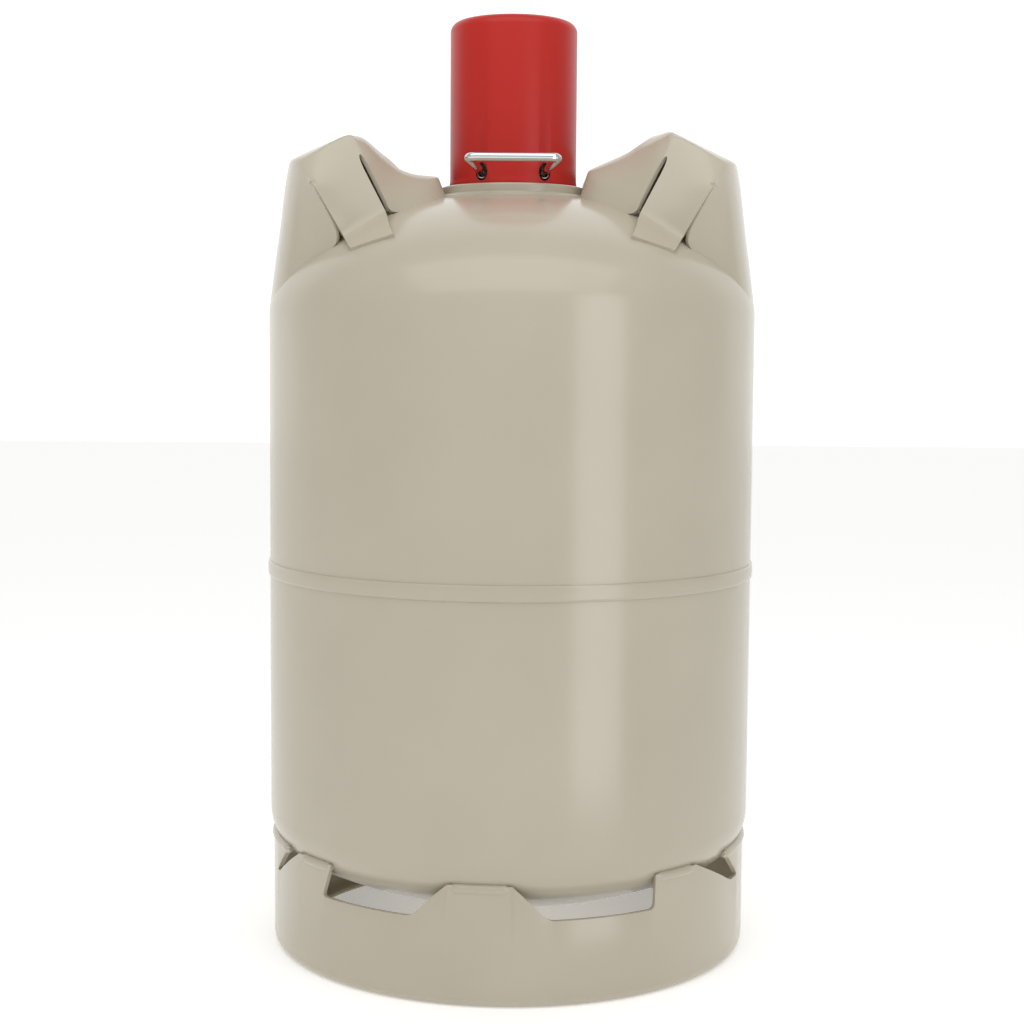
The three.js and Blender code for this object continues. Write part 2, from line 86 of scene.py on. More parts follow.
def turned(name, section, steps=192, sharp=32):
    """Spins a section of (radius, height) points round the axis."""
    piece = vertex_piece(name, (section[0][0], 0, section[0][1]))
    for (r0, z0), (r1, z1) in zip(section, section[1:]):
        move = {"value": (r1 - r0, 0, z1 - z0)}
        bpy.ops.mesh.extrude_vertices_move(TRANSFORM_OT_translate=move)
    bpy.ops.mesh.select_all(action="SELECT")
    bpy.ops.mesh.spin(steps=steps, angle=math.tau, center=(0, 0, 0), axis=(0, 0, 1))
    bpy.ops.mesh.select_all(action="SELECT")
    bpy.ops.mesh.remove_doubles(threshold=0.005 * MM)
    bpy.ops.mesh.normals_make_consistent(inside=False)
    return smooth(piece, sharp)


def linear(hex_colour):
    """An sRGB hex colour as linear red, green, blue and alpha."""
    parts = [int(hex_colour[i:i + 2], 16) / 255 for i in (0, 2, 4)]
    return [c / 12.92 if c < 0.04045 else ((c + 0.055) / 1.055) ** 2.4 for c in parts] + [1]


def new_finish(name, hex_colour, metallic, roughness):
    material = bpy.data.materials.new(name)
    material.use_nodes = True
    shader = material.node_tree.nodes["Principled BSDF"]
    shader.inputs["Base Color"].default_value = linear(hex_colour)
    shader.inputs["Metallic"].default_value = metallic
    shader.inputs["Roughness"].default_value = roughness
    return material, shader


def add_node(material, kind, inputs=None, links=None, **settings):
    """Adds one node; links are {input: (node, output)}."""
    node = material.node_tree.nodes.new(kind)
    for key, value in settings.items():
        setattr(node, key, value)
    for socket, value in (inputs or {}).items():
        node.inputs[socket].default_value = value
    for socket, (source, output) in (links or {}).items():
        material.node_tree.links.new(source.outputs[output], node.inputs[socket])
    return node


def dress(piece, material, body, slot, *nodes):
    """Gives a piece its finish, the body it rides on and the CAD nodes it stands for."""
    piece.data.materials.clear()
    piece.data.materials.append(material)
    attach(piece, body)
    if nodes:
        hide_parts(*nodes)
    return piece


# Stoved alkyd enamel, pebble grey, sprayed on shot-blasted steel: a glossy coat with a faint
# orange peel, which softens what it mirrors, and tone that drifts a little over a hand's width.
enamel, enamel_shader = new_finish("stoved_enamel_pebble_grey", "BDB5A4", 0, 0.2)
enamel_shader.inputs["IOR"].default_value = 1.45
PEEL_MM = 2.5
DRIFT_MM = 90
place = add_node(enamel, "ShaderNodeTexCoord")
drift = add_node(enamel, "ShaderNodeTexNoise", {"Scale": 1000 / DRIFT_MM, "Detail": 2},
                 {"Vector": (place, "Object")})
tone = add_node(enamel, "ShaderNodeValToRGB", links={"Fac": (drift, "Fac")})
tone.color_ramp.elements[0].position, tone.color_ramp.elements[1].position = 0.3, 0.7
tone.color_ramp.elements[0].color = linear("B8B09E")
tone.color_ramp.elements[1].color = linear("BDB5A3")
peel = add_node(enamel, "ShaderNodeTexNoise", {"Scale": 1000 / PEEL_MM, "Detail": 1},
                {"Vector": (place, "Object")})
peel_bump = add_node(enamel, "ShaderNodeBump", {"Strength": 0.08, "Distance": 0.05 * MM},
                     {"Height": (peel, "Fac")})
enamel.node_tree.links.new(tone.outputs["Color"], enamel_shader.inputs["Base Color"])
enamel.node_tree.links.new(peel_bump.outputs["Normal"], enamel_shader.inputs["Normal"])

lower_low, lower_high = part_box("lower_shell")
body_radius = lower_high.x
seam_height = lower_high.z
wall = 3 * MM
dome_depth = 75 * MM
lip = 0.6 * MM               # rounding of the cut edge at the seam
crown_radius = body_radius * 2        # 300 mm
knuckle_radius = body_radius * 0.2    # 30 mm
across = body_radius - knuckle_radius
crown_rise = math.sqrt((crown_radius - knuckle_radius) ** 2 - across ** 2)
lower_tangent = lower_low.z + crown_radius - crown_rise
crown_turn = math.degrees(math.asin(across / (crown_radius - knuckle_radius))) - 90


def bottom_outline(margin):
    """The dished end's outline grown by margin, from the axis up to the straight wall."""
    middle = (0, lower_tangent + crown_rise)
    outer = (across, lower_tangent)
    return [*arc(middle, [crown_radius + margin] * 2, -90, crown_turn, 20),
            *arc(outer, [knuckle_radius + margin] * 2, crown_turn, 0, 20)[1:]]


lower_half = turned("vessel_bottom", [
    *bottom_outline(0), (body_radius, seam_height - lip), (body_radius - lip, seam_height),
    (body_radius - wall, seam_height), *bottom_outline(-wall)[::-1]])
dress(lower_half, enamel, "tank", "body_paint", "lower_shell")


# ---- vessel, upper half --------------------------------------------------------------------
# The upper cup is joggled: its rim steps in and slides down inside the lower cup, and backs the
# girth weld. Its dome has one port in the middle, for the valve boss.
upper_low, upper_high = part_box("upper_shell")
port_radius = 17 * MM
upper_tangent = upper_high.z - dome_depth * math.sqrt(1 - (port_radius / body_radius) ** 2)
joggle = body_radius - wall - 0.3 * MM
shoulder = seam_height + 6.4 * MM
port_edge = math.degrees(math.acos(port_radius / body_radius))
port_inside = math.degrees(math.acos(port_radius / (body_radius - wall)))
upper_half = turned("vessel_top", [
    (joggle - wall, upper_low.z), (joggle, upper_low.z), (joggle, shoulder - lip),
    (body_radius - lip, shoulder), (body_radius, shoulder + lip),
    *arc((0, upper_tangent), (body_radius, dome_depth), 0, port_edge, 40),
    *arc((0, upper_tangent), (body_radius - wall, dome_depth - wall), port_inside, 0, 32),
    (body_radius - wall, shoulder + wall), (joggle - wall, shoulder - wall),
    (joggle - wall, upper_low.z)])
dress(upper_half, enamel, "tank", "body_paint", "upper_shell")


def dome_height(radius):
    """Height of the upper dome's outside at a radius."""
    return upper_tangent + dome_depth * math.sqrt(max(0, 1 - (radius / body_radius) ** 2))


# ---- girth weld ----------------------------------------------------------------------------
# One submerged-arc pass that fills the joggle all round. It stands about a millimetre proud
# with a flat crown, and its two toes show through the paint as fine lines.
weld_low, weld_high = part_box("girth_weld")
crown = weld_high.x
half_bead = (weld_high.z - weld_low.z) / 2
middle = (weld_high.z + weld_low.z) / 2
toe = body_radius - 0.3 * MM
girth = turned("girth_seam", [
    (toe, middle - half_bead), (toe + 0.9 * MM, middle - half_bead + 0.2 * MM),
    *[(crown - 0.25 * MM * (i / 4) ** 2, middle + half_bead * 0.82 * i / 4) for i in range(-4, 5)],
    (toe + 0.9 * MM, middle + half_bead - 0.2 * MM), (toe, middle + half_bead),
    (body_radius - wall + 0.2 * MM, middle + half_bead * 0.6),
    (body_radius - wall + 0.2 * MM, middle - half_bead * 0.6), (toe, middle - half_bead)])
dress(girth, enamel, "tank", "body_paint", "girth_weld")


# ---- foot ring -----------------------------------------------------------------------------
# A band of 3 mm strip, rolled up and butt welded, with its lower edge curled inwards. Eight
# windows are punched in it; the lugs left between them are welded to the vessel's knuckle.
def outline_piece(name, outline, depth, y):
    """A slab: a closed outline of (x, height) points at y, drawn out by depth along +Y."""
    piece = vertex_piece(name, (outline[0][0], y, outline[0][1]))
    for (x0, z0), (x1, z1) in zip(outline, outline[1:]):
        move = {"value": (x1 - x0, 0, z1 - z0)}
        bpy.ops.mesh.extrude_vertices_move(TRANSFORM_OT_translate=move)
    bpy.ops.mesh.select_all(action="SELECT")
    bpy.ops.mesh.edge_face_add()
    bpy.ops.mesh.extrude_region_move(TRANSFORM_OT_translate={"value": (0, depth, 0)})
    bpy.ops.mesh.select_all(action="SELECT")
    bpy.ops.mesh.normals_make_consistent(inside=False)
    bpy.ops.object.mode_set(mode="OBJECT")
    return piece


def combine(piece, tool, how="DIFFERENCE"):
    """Cuts a tool out of a piece, or joins it on, and uses the tool up."""
    deselect()
    bpy.context.view_layer.objects.active = piece
    piece.select_set(True)
    modifier = piece.modifiers.new("cut", "BOOLEAN")
    modifier.operation, modifier.object, modifier.solver = how, tool, "EXACT"
    bpy.ops.object.modifier_apply(modifier=modifier.name)
    bpy.data.objects.remove(tool)
    return piece


def bevel(piece, width, segments=2, angle=45):
    deselect()
    bpy.context.view_layer.objects.active = piece
    piece.select_set(True)
    modifier = piece.modifiers.new("edges", "BEVEL")
    modifier.width, modifier.segments = width, segments
    modifier.limit_method, modifier.angle_limit = "ANGLE", math.radians(angle)
    bpy.ops.object.modifier_apply(modifier=modifier.name)
    bpy.ops.object.shade_smooth_by_angle(angle=math.radians(30))
    return piece


_, foot_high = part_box("foot_ring")
foot_radius = foot_high.x
foot_sheet = 3 * MM
curl = 8 * MM
roll = 6 * MM
sill = 50 * MM
lug_top = foot_high.z
seat_width, seat_depth = 1.8 * MM, 2.1 * MM     # the slope on a lug's top that meets the knuckle
flange = foot_radius - roll - curl
edge = foot_sheet / 2
foot = turned("foot_band", [
    *arc((flange, edge), (edge, edge), 90, 270, 6),
    *arc((foot_radius - roll, roll), (roll, roll), -90, 0, 8),
    (foot_radius, lug_top), (foot_radius - seat_width, lug_top),
    (foot_radius - foot_sheet, lug_top - seat_depth),
    *arc((foot_radius - roll, roll), (roll - foot_sheet, roll - foot_sheet), 0, -90, 6),
    (flange, foot_sheet)], steps=224)

window_corner = 3.5 * MM
punch_over = 4 * MM          # of a punch above the lug tops
punch_ahead = 12 * MM        # of a punch in front of the ring
# azimuths of each front window's ends in degrees: left top, left sill, right sill, right top
front_windows = [
    (-63, -73, -71, -57), (-44, -47, -22, -13.5), (1, 9, 34.5, 34.8), (47.8, 65.3, 71, 61)]
windows = front_windows + [tuple(180 - turn for turn in reversed(ends)) for ends in front_windows]
for left_top, left_sill, right_sill, right_top in windows:
    facing = (left_sill + right_sill) / 2
    corners = []
    for top, foot_turn, inward in ((left_top, left_sill, 1), (right_top, right_sill, -1)):
        high, low = [foot_radius * math.sin(math.radians(turn - facing))
                     for turn in (top, foot_turn)]
        slope = (high - low) / (lug_top - sill)
        radius = min(window_corner, abs(right_sill - left_sill) / 2 * MM)
        turn_in = [((1 - t) ** 2 * radius * slope + inward * t ** 2 * radius, (1 - t) ** 2 * radius)
                   for t in (0, 0.25, 0.5, 0.75, 1)]
        corners.append([(high + slope * punch_over, lug_top + punch_over),
                        *[(low + x, sill + z) for x, z in turn_in]])
    window = outline_piece("window_punch", corners[0] + corners[1][::-1], body_radius / 3,
                           -foot_radius - punch_ahead)
    window.data.transform(Matrix.Rotation(math.radians(facing), 4, "Z"))
    combine(foot, window)
bevel(foot, 0.5 * MM)
dress(foot, enamel, "tank", "body_paint", "foot_ring")


def bead(name, points, radius, ripple):
    """A weld bead along points; its radius rises and falls with every second point."""
    deselect()
    bpy.ops.curve.primitive_nurbs_path_add()
    path = bpy.context.object
    path.name = path.data.name = name
    path.data.splines.clear()
    spline = path.data.splines.new("POLY")
    spline.points.add(len(points) - 1)
    for k, (point, place_on) in enumerate(zip(spline.points, points)):
        point.co = (*place_on, 1)
        end = min(k, len(points) - 1 - k)
        point.radius = (1 - ripple * (k % 2)) * (0.45 if end == 0 else 1)
    path.data.dimensions = "3D"
    path.data.bevel_depth, path.data.bevel_resolution = radius, 3
    path.data.use_fill_caps = True
    bpy.ops.object.convert(target="MESH")
    bpy.ops.object.mode_set(mode="EDIT")
    bpy.ops.mesh.select_all(action="SELECT")
    bpy.ops.mesh.remove_doubles(threshold=0.005 * MM)
    bpy.ops.mesh.normals_make_consistent(inside=False)
    return smooth(path, 60)


# fillet welds along the lug tops, stick welded, a ripple every 3 mm
RIPPLE_DEG = 1.2
END_DEG = 0.4                # left bare at each end of a lug
lug_weld_radius = 3.1 * MM
lug_weld_place = 146 * MM    # from the axis
lug_weld_height = lug_top - 2.2 * MM
in_order = sorted(windows)
for i, (window, following) in enumerate(zip(in_order, in_order[1:] + in_order[:1])):
    start, end = window[3] + END_DEG, following[0] - END_DEG
    end += 360 if end < start else 0
    count = round((end - start) / RIPPLE_DEG)
    turns = [math.radians(start + (end - start) * k / count) for k in range(count + 1)]
    route = [(lug_weld_place * math.sin(turn), -lug_weld_place * math.cos(turn), lug_weld_height)
             for turn in turns]
    weld = bead(f"lug_weld_{i + 1}", route, lug_weld_radius, 0.03)
    dress(weld, enamel, "tank", "body_paint")


# ---- shoulder grips ------------------------------------------------------------------------
# Two hoods pressed from 2.6 mm sheet, open below and with a finger slot in the inner side. A
# leg is slit free at each front corner, bent down and turned out on to the dome as a foot.
grip_sheet = 2.6 * MM
leg_rise = 2.9
ON_DOME = None

# Each row runs from the middle of the outer apron round the front leg to the middle of the
# inner apron: degrees from the grip's middle, radius and height in mm. ON_DOME lies on the dome.
plate_row = [(0, 136, 481), (8, 137, 480.8), (15, 139, 480.3), (22, 142, 479.5), (27, 143.8, 478.5),
             (30.3, 143.3, 477.8), (31.5, 141.5, 478.3), (35, 115, 495.2), (34.5, 111.5, 496.2),
             (32, 108.5, 497.6), (26, 103.5, 498.7), (13, 98.5, 499.5), (0, 97, 499.8)]
outer_rows = [
    [(0, 139.5, 468), (9, 140.5, 468), (17, 142.5, 468), (25, 145, 468), (31, 146, 468),
     (36.5, 145.6, 465), (37, 144.5, 464.5), (37, 114, 480.5)],
    [(0, 143.3, 444), (9.5, 143.3, 444), (18, 145.5, 438), (26, 144.8, 442), (31.5, 141.5, 448),
     (38.1, 136, 447), (38.6, 134.5, 446.5), (40.8, 107.9, 463)],
    [(0, 147.2, 420), (9.8, 147.2, 420), (19, 148, 417), (27, 144, 424), (32, 136.5, 434),
     (38.8, 131.4, 438.5), (39.4, 129.9, 438), (43.1, 104.8, 453)],
    [(0, 150.25, 396), (10, 150.25, 396), (20, 149.7, 396), (27.5, 142, ON_DOME),
     (32.5, 135, ON_DOME), (39.4, 128.8, ON_DOME), (40, 127, leg_rise), (44.5, 103, leg_rise)]]
inner_rows = {
    "right": [
        [(37.1, 111, 483.5), (35, 103, 493), (28.5, 95.5, 497), (15, 90, 498.5), (0, 89, 498.5)],
        [(41.1, 104.9, 465), (36, 90, 478), (31, 78, 485), (16, 70.5, 488.5), (0, 69, 489)],
        [(43.5, 101.7, 454), (41, 75, 465), (37, 53, 476.5), (20, 51, 479), (0, 50.5, 479.5)],
        [(44.8, 100, ON_DOME), (46, 71, ON_DOME), (43, 50, ON_DOME), (22, 48.5, ON_DOME),
         (0, 48, ON_DOME)]],
    "left": [
        [(37.1, 111, 483.5), (35.5, 102, 487), (29, 93, 488), (15, 87.5, 487.5), (0, 86.5, 487.5)],
        [(41.1, 104.9, 465), (37, 90, 470), (31, 76, 474), (16, 69.5, 474.5), (0, 68.5, 474.5)],
        [(43.5, 101.7, 454), (41, 76, 461), (37, 53, 473), (20, 51, 474), (0, 50.5, 474)],
        [(44.8, 100, ON_DOME), (46, 71, ON_DOME), (43, 50, ON_DOME), (22, 48.5, ON_DOME),
         (0, 48, ON_DOME)]]}
foot_rows = [[(49.5, 111), (42.5, 130)], [(54, 119.5), (45, 133)], [(58, 127), (47, 135.2)]]
# columns of the rows above: the leg's two edges, the first of the finger opening, and the last
LEG_OUT, LEG_IN, OPENING, LAST = 6, 7, 10, 12


def grip_place(turn, radius_mm, height_mm, turned_round):
    """A cage point; height None lies on the dome, and a few mm means that far above it."""
    radius = radius_mm * MM
    if height_mm is ON_DOME:
        height = dome_height(radius) - 0.8 * MM
    elif height_mm < 10:
        height = dome_height(radius) + height_mm * MM
    else:
        height = height_mm * MM
    angle = math.radians(turn)
    return Vector((turned_round * radius * math.cos(angle), -radius * math.sin(angle), height))


def grip_cage(name, side):
    """The hood's control cage, which subdivision turns into the pressed sheet."""
    cage = bmesh.new()
    crease = cage.edges.layers.float.new("crease_edge")
    turned_round = 1 if side == "right" else -1
    rows = [plate_row] + [outer + inner for outer, inner in zip(outer_rows, inner_rows[side])]

    def ring(row):
        front = [cage.verts.new(grip_place(*place, turned_round)) for place in row]
        rear = [cage.verts.new(v.co * Vector((1, -1, 1))) for v in front[1:LAST]]
        return front + rear[::-1]

    rings = [ring(row) for row in rows]
    count = len(rings[0])

    def column(k):
        """The matching column on the rear half."""
        return (count - k) % count

    slits = {LEG_OUT - 1, LEG_IN}
    for level, (upper, lower) in enumerate(zip(rings, rings[1:])):
        for k in range(count):
            half = min(k, column(k + 1))
            if level > 0 and half in slits:
                continue
            if level == 1 and half >= OPENING:
                continue
            n = (k + 1) % count
            cage.faces.new((upper[k], lower[k], lower[n], upper[n]))
    plate = rings[0]
    for far, flip in ((lambda k: k, False), (column, True)):
        for k in range(LEG_OUT - 1):
            corners = [plate[far(k)], plate[far(k + 1)], plate[far(LAST - 1 - k)], plate[far(LAST - k)]]
            cage.faces.new(corners[::-1] if flip else corners)
        corners = [plate[far(LEG_OUT - 1)], plate[far(LEG_OUT)], plate[far(LEG_IN)]]
        cage.faces.new(corners[::-1] if flip else corners)
    for k in range(count):
        if min(k, column(k + 1)) > LEG_IN:      # the pressed rim beside the neck
            cage.edges.get((rings[3][k], rings[3][(k + 1) % count]))[crease] = 0.6
        edge_between = cage.edges.get((plate[k], plate[(k + 1) % count]))
        half = min(k, column(k + 1))
        if half < LEG_OUT:
            edge_between[crease] = 0.55
        elif half > LEG_IN:
            edge_between[crease] = 0.5 if side == "right" else 0.15
        else:
            edge_between[crease] = 0.35
    for far in (lambda k: k, column):
        inner, outer = rings[-1][far(LEG_IN)], rings[-1][far(LEG_OUT)]
        mirror = 1 if far(1) == 1 else -1
        for inner_place, outer_place in foot_rows:
            pair = []
            for place in (inner_place, outer_place):
                where = grip_place(*place, leg_rise, turned_round)
                where.y *= mirror
                pair.append(cage.verts.new(where))
            face = (inner, pair[0], pair[1], outer)
            cage.faces.new(face if mirror * turned_round > 0 else face[::-1])
            for here, onward in ((inner, pair[0]), (pair[1], outer)):
                cage.edges.get((here, onward))[crease] = 0.7
            inner, outer = pair
        cage.edges.get(pair)[crease] = 0.7
    bmesh.ops.recalc_face_normals(cage, faces=cage.faces)
    mesh = bpy.data.meshes.new(name)
    cage.to_mesh(mesh)
    cage.free()
    hood = bpy.data.objects.new(name, mesh)
    bpy.context.collection.objects.link(hood)
    return hood


for side in ("right", "left"):
    hood = grip_cage(f"{side}_hood", side)
    top = max(hood.data.polygons, key=lambda face: face.center.z)
    if top.normal.z < 0:
        hood.data.flip_normals()
    deselect()
    bpy.context.view_layer.objects.active = hood
    hood.select_set(True)
    rounding = hood.modifiers.new("rounding", "SUBSURF")
    rounding.levels = rounding.render_levels = 3
    bpy.ops.object.modifier_apply(modifier="rounding")
    sheet = hood.modifiers.new("sheet", "SOLIDIFY")
    sheet.thickness, sheet.offset, sheet.use_even_offset = grip_sheet, -1, True
    bpy.ops.object.modifier_apply(modifier="sheet")
    bpy.ops.object.shade_smooth_by_angle(angle=math.radians(40))
    dress(hood, enamel, "tank", "body_paint", f"{side}_grip")


# ---- neck ring -----------------------------------------------------------------------------
# A turned steel ring welded on top of the dome: a flange, and a collar with a coarse rounded
# thread for the cap. It is painted with the cylinder.
def thread(name, radius, depth, pitch, low, turns, steps=96):
    """A helical ridge round the axis, drawn with a screw modifier from a small trapezium."""
    piece = vertex_piece(name, (radius - 0.2 * MM, 0, low))
    for x, z in ((depth + 0.2 * MM, pitch * 0.28), (0, pitch * 0.16), (-depth - 0.2 * MM, pitch * 0.28)):
        bpy.ops.mesh.extrude_vertices_move(TRANSFORM_OT_translate={"value": (x, 0, z)})
    bpy.ops.object.mode_set(mode="OBJECT")
    winding = piece.modifiers.new("winding", "SCREW")
    winding.angle, winding.screw_offset, winding.iterations = math.tau, pitch, turns
    winding.steps = winding.render_steps = steps
    winding.use_merge_vertices, winding.merge_threshold = True, 0.005 * MM
    bpy.ops.object.modifier_apply(modifier="winding")
    bpy.ops.object.mode_set(mode="EDIT")
    bpy.ops.mesh.select_all(action="SELECT")
    bpy.ops.mesh.remove_doubles(threshold=0.005 * MM)
    bpy.ops.mesh.select_all(action="DESELECT")
    bpy.ops.mesh.select_non_manifold(extend=False, use_wire=False, use_multi_face=False,
                                     use_non_contiguous=False, use_verts=False)
    bpy.ops.mesh.fill()
    bpy.ops.mesh.select_all(action="SELECT")
    bpy.ops.mesh.normals_make_consistent(inside=False)
    return smooth(piece, 50)


_, neck_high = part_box("neck_ring")
neck_radius = neck_high.x
collar_top = neck_high.z
collar_height = 21 * MM
flange_top = collar_top - collar_height
collar_radius = 30 * MM
collar_bore = 26 * MM
neck_thread_depth = 1.1 * MM
core = collar_radius - neck_thread_depth
neck = turned("neck_flange", [
    (collar_bore, dome_height(collar_bore) - 0.5 * MM),
    (neck_radius, dome_height(neck_radius) - 0.5 * MM), (neck_radius, flange_top - 1.2 * MM),
    *arc((neck_radius - 1.2 * MM, flange_top - 1.2 * MM), (1.2 * MM, 1.2 * MM), 15, 90, 5),
    (core + 1 * MM, flange_top), (core, flange_top + 1 * MM), (core, collar_top - 0.8 * MM),
    (core - 0.8 * MM, collar_top), (collar_bore + 0.6 * MM, collar_top),
    (collar_bore, collar_top - 0.6 * MM), (collar_bore, dome_height(collar_bore) - 0.5 * MM)])
dress(neck, enamel, "tank", "body_paint", "neck_ring")
neck_thread = thread("neck_thread", core, neck_thread_depth, 3.6 * MM, flange_top + 2.2 * MM, 4)
dress(neck_thread, enamel, "tank", "body_paint")
toe_height = dome_height(neck_radius + 1.5 * MM)
neck_weld = turned("neck_weld", [
    (neck_radius - 1 * MM, toe_height - 1 * MM), (neck_radius + 3.2 * MM, toe_height - 1.4 * MM),
    (neck_radius + 2.4 * MM, toe_height + 0.4 * MM), (neck_radius + 1 * MM, toe_height + 1.5 * MM),
    (neck_radius - 0.2 * MM, toe_height + 2.1 * MM), (neck_radius - 1 * MM, toe_height - 1 * MM)],
    sharp=60)
dress(neck_weld, enamel, "tank", "body_paint")


# ---- valve cap -----------------------------------------------------------------------------
# A cup deep drawn from 1.7 mm steel and enamelled red. Two tall holes low in its front wall
# hold the bail's feet, and a plated ring pressed inside it carries the thread.
red, red_shader = new_finish("stoved_enamel_signal_red", "B6261F", 0, 0.34)
# satin alkyd enamel: the edges catch a pale sheen, the middle keeps its colour
red_shader.inputs["IOR"].default_value = 1.33
red_place = add_node(red, "ShaderNodeTexCoord")
red_peel = add_node(red, "ShaderNodeTexNoise", {"Scale": 1000 / 1.8, "Detail": 1},
                    {"Vector": (red_place, "Object")})
red_bump = add_node(red, "ShaderNodeBump", {"Strength": 0.08, "Distance": 0.05 * MM},
                    {"Height": (red_peel, "Fac")})
red.node_tree.links.new(red_bump.outputs["Normal"], red_shader.inputs["Normal"])

cap_low, cap_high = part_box("red_cap")
cap_radius, cap_rim, cap_top = cap_high.x, cap_low.z, cap_high.z
cap_sheet = 1.7 * MM
cap_edge = 6 * MM
cap_inner = cap_radius - cap_sheet
crown_height = cap_top - cap_edge
flare = 0.5 * MM
cap = turned("cap_shell", [
    (0, cap_top), *arc((cap_radius - cap_edge, crown_height), (cap_edge, cap_edge), 90, 0, 12),
    (cap_radius, cap_rim + 5 * MM), (cap_radius + flare * 0.3, cap_rim + 2.6 * MM),
    (cap_radius + flare, cap_rim + 0.9 * MM), (cap_radius + flare * 0.8, cap_rim + 0.25 * MM),
    (cap_radius, cap_rim), (cap_inner, cap_rim), (cap_inner - 0.2 * MM, cap_rim + 5 * MM),
    *arc((cap_radius - cap_edge, crown_height),
         (cap_edge - cap_sheet, cap_edge - cap_sheet), 0, 90, 10),
    (0, cap_top - cap_sheet)], steps=256)

hinge_ahead = 33.08 * MM     # of the bail's hinge line in front of the axis
hinge_rise = 7 * MM          # of that line above the rim
bail_pivot = Vector((0, -hinge_ahead, cap_rim + hinge_rise))
hole_radius = 3.5 * MM
HOLE_STRETCH = 1.54          # a hole's height over its width, which lets the bail swing
bail_foot = 19 * MM
for x in (-bail_foot, bail_foot):
    deselect()
    bpy.ops.mesh.primitive_cylinder_add(
        vertices=48, radius=hole_radius, depth=20 * MM, rotation=(math.pi / 2, 0, 0),
        location=(x, bail_pivot.y, bail_pivot.z))
    hole = bpy.context.object
    hole.data.transform(Matrix.Translation(hole.location) @ Matrix.Diagonal((1, 1, HOLE_STRETCH, 1))
                        @ hole.rotation_euler.to_matrix().to_4x4())
    hole.location, hole.rotation_euler = (0, 0, 0), (0, 0, 0)
    combine(cap, hole)
bevel(cap, 0.3 * MM, angle=60)
dress(cap, red, "cap", "red_paint", "red_cap")

# zinc plated turned steel, bright and slightly milky
plated, _ = new_finish("zinc_plated_steel", "B4B7BA", 1, 0.32)
ring_low, ring_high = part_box("cap_thread_ring")
ring = turned("cap_thread_band", [
    (ring_high.x - 6 * MM, ring_low.z), (ring_high.x, ring_low.z), (ring_high.x, ring_high.z),
    (ring_high.x - 6 * MM, ring_high.z), (ring_high.x - 6 * MM, ring_low.z)])
bevel(ring, 0.4 * MM)
dress(ring, plated, "cap", "zinc", "cap_thread_ring")


# ---- bail ----------------------------------------------------------------------------------
# 5 mm spring wire bent to a flat loop, chrome plated. Its ends pass in through the cap's two
# holes and are upset behind the wall, so the loop swings but can't be pulled out.
chrome, _ = new_finish("chrome_plated_wire", "D8DADC", 1, 0.08)
wire_radius = 2.5 * MM
bail_reach = 36 * MM
bail_bar = 27 * MM
bend = 6 * MM
tail = 5.8 * MM              # of each end behind the hinge line
head_radius = 3 * MM         # of the upset ends
head_length = 1.5 * MM
tilt = math.radians(8)
straight = Vector((bail_foot - bail_bar, bail_reach)).normalized()
corner_in = Vector((bail_bar, -bail_reach)) + straight * bend
half_loop = [Vector((bail_foot, tail - 1.2 * MM)), Vector((bail_foot, 0)),
             Vector((bail_foot, 0)).lerp(corner_in, 0.5), corner_in]
for k in range(1, 9):
    t = k / 8
    corner_out = Vector((bail_bar - bend, -bail_reach))
    half_loop.append((1 - t) ** 2 * corner_in + 2 * t * (1 - t) * Vector((bail_bar, -bail_reach))
                     + t ** 2 * corner_out)
loop = half_loop + [Vector((-point.x, point.y)) for point in reversed(half_loop)]
swing = Matrix.Translation(bail_pivot) @ Matrix.Rotation(-tilt, 4, "X")
deselect()
bpy.ops.curve.primitive_nurbs_path_add()
bail = bpy.context.object
bail.name = bail.data.name = "bail_wire"
bail.data.splines.clear()
spline = bail.data.splines.new("POLY")
spline.points.add(len(loop) - 1)
for point, (x, y) in zip(spline.points, loop):
    point.co = (*(swing @ Vector((x, y, 0))), 1)
bail.data.bevel_depth, bail.data.bevel_resolution = wire_radius, 8
bail.data.use_fill_caps = True
bpy.ops.object.convert(target="MESH")
bpy.ops.object.shade_smooth_by_angle(angle=math.radians(50))
dress(bail, chrome, "bail", "wire", "wire_bail")
for k, x in enumerate((-bail_foot, bail_foot)):
    deselect()
    bpy.ops.mesh.primitive_cylinder_add(vertices=48, radius=head_radius, depth=head_length)
    head = bpy.context.object
    head.name = head.data.name = f"bail_head_{k + 1}"
    head.data.transform(swing @ Matrix.Translation((x, tail - head_length / 2, 0))
                        @ Matrix.Rotation(math.pi / 2, 4, "X"))
    bevel(head, 0.4 * MM)
    dress(head, chrome, "bail", "wire")


# ---- valve ---------------------------------------------------------------------------------
# A forged and turned brass valve screwed into a steel boss in the dome's port, under the cap.
brass, brass_shader = new_finish("machined_brass", "C9A56A", 1, 0.28)
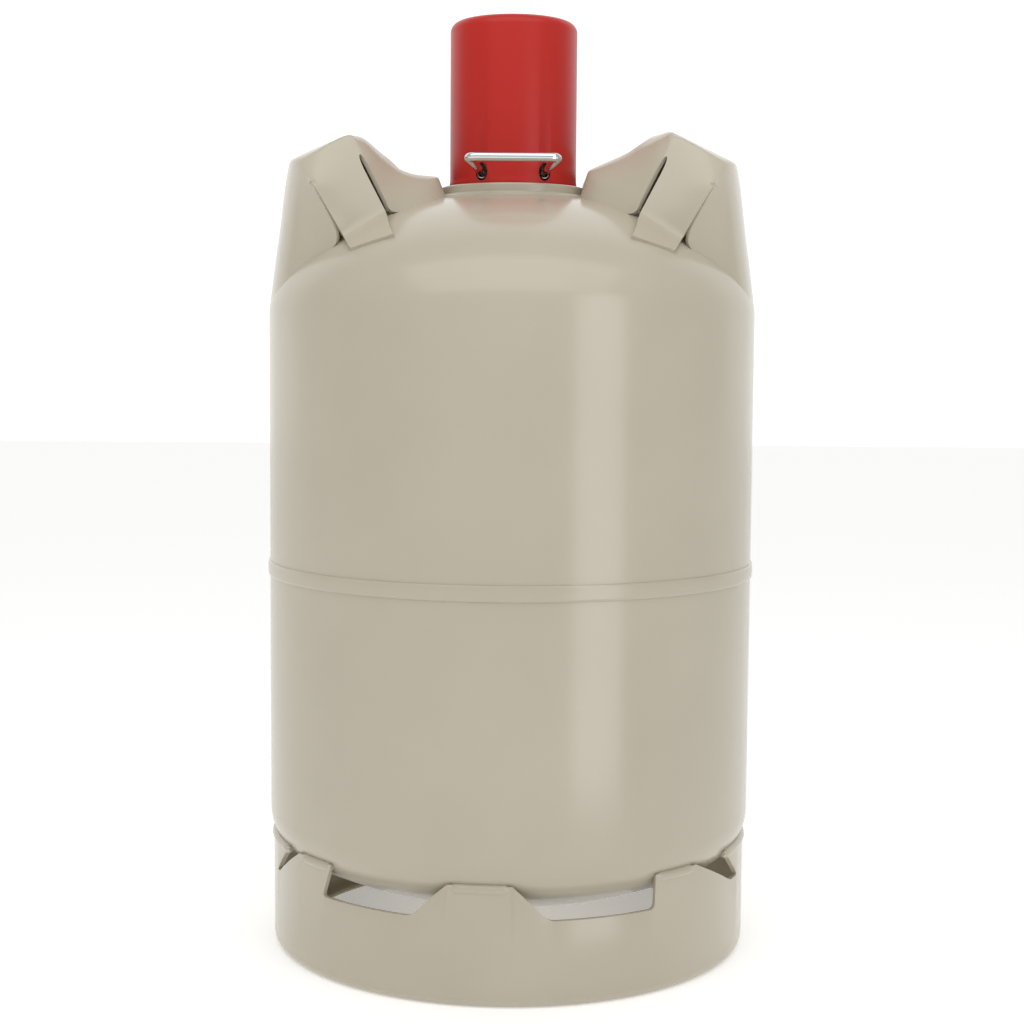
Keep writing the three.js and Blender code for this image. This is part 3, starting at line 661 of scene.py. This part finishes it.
# bright drawn brass, turned: fine rings run round the axis
brass_place = add_node(brass, "ShaderNodeTexCoord")
lathe = add_node(brass, "ShaderNodeTexWave", {"Scale": 1000 / 1.2, "Distortion": 0.4},
                 {"Vector": (brass_place, "Object")}, wave_type="BANDS", bands_direction="Z")
lathe_bump = add_node(brass, "ShaderNodeBump", {"Strength": 0.1, "Distance": 0.02 * MM},
                      {"Height": (lathe, "Fac")})
brass.node_tree.links.new(lathe_bump.outputs["Normal"], brass_shader.inputs["Normal"])
nitrile, _ = new_finish("moulded_nitrile_rubber", "1C1C1C", 0, 0.7)
nylon, _ = new_finish("moulded_black_nylon", "202226", 0, 0.45)
for finish, slot, body, names in (
        (plated, "zinc", "tank", ("valve_boss", "boss_weld")),
        (plated, "zinc", "wheel", ("wheel_screw",)),
        (plated, "zinc", "relief", ("relief_spring",)),
        (brass, "brass", "tank", ("valve_body", "bonnet_nut", "relief_cap")),
        (brass, "brass", "wheel", ("upper_spindle",)),
        (brass, "brass", "disc", ("lower_spindle",)),
        (brass, "brass", "plug", ("outlet_plug",)),
        (brass, "brass", "relief", ("relief_poppet",)),
        (nitrile, "rubber", "tank", ("spindle_ring", "seat_disc", "outlet_seal", "relief_seal")),
        (nylon, "wheel", "wheel", ("handwheel",))):
    for name in names:
        node_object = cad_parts[name]
        node_object.data.materials.clear()
        node_object.data.materials.append(finish)


# ---- floor, light and camera ---------------------------------------------------------------
# A white sweep with a bright white surround, a softbox above and in front, a tall strip at the
# right, which draws the upright band on the enamel, and a lamp hidden inside the foot ring.
sweep_white, sweep_shader = new_finish("matt_white_sweep", "FAFAF9", 0, 0.9)
# lit a little from below, like a light table, so it stays white to the horizon
sweep_shader.inputs["Emission Color"].default_value = (1, 1, 1, 1)
sweep_shader.inputs["Emission Strength"].default_value = 0.28
deselect()
bpy.ops.mesh.primitive_plane_add(size=14, location=(0, 0, 0))
floor = bpy.context.object
floor.name = "studio_floor"
floor.data.materials.append(sweep_white)

world = bpy.data.worlds.new("white_studio")
world.use_nodes = True
bpy.context.scene.world = world
ground = world.node_tree.nodes["Background"]
ways = add_node(world, "ShaderNodeTexCoord")
split = add_node(world, "ShaderNodeSeparateXYZ", links={"Vector": (ways, "Generated")})
# brighter behind the object (+Y) than on the side that it faces
surround = add_node(world, "ShaderNodeMapRange", {"From Min": 0.3, "From Max": 0.55,
                                                  "To Min": 0.54, "To Max": 1.15},
                    {"Value": (split, "Y")})
world.node_tree.links.new(surround.outputs["Result"], ground.inputs["Strength"])
ground.inputs["Color"].default_value = (1, 1, 1, 1)


def softbox(name, place_at, aim, size, power):
    """A rectangular light that faces a point."""
    deselect()
    bpy.ops.object.light_add(type="AREA", location=place_at)
    lamp = bpy.context.object
    lamp.name = name
    lamp.data.shape, lamp.data.size, lamp.data.size_y = "RECTANGLE", *size
    lamp.data.energy = power
    lamp.rotation_euler = (Vector(aim) - Vector(place_at)).to_track_quat("-Z", "Y").to_euler()
    lamp.visible_camera = False
    return lamp


softbox("overhead_softbox", (0, -0.6, 1.2), (0, 0, 0.45), (1.6, 0.9), 6.5)
# a flat lamp inside the foot ring, which lightens what the windows show
softbox("underside_fill", (0, 0, 0.004), (0, 0.001, 1), (0.17, 0.17), 0.02)
strip = softbox("upright_strip", (0.307, -0.443, 0.30), (0.051, -0.141, 0.30), (0.19, 0.58), 0.85)
strip.visible_diffuse = False

camera_data = bpy.data.cameras.new("camera")
camera_data.lens, camera_data.sensor_width = 63.46, 36
camera = bpy.data.objects.new("camera", camera_data)
bpy.context.collection.objects.link(camera)
camera.matrix_world = (Matrix.Translation((0, -1.132, 0.3605))
                       @ Matrix.Rotation(math.radians(-0.04), 4, "Z")
                       @ Matrix.Rotation(math.radians(90 - 4.70), 4, "X")
                       @ Matrix.Rotation(math.radians(0.40), 4, "Z"))
bpy.context.scene.camera = camera
bpy.context.scene.view_settings.view_transform = "Standard"
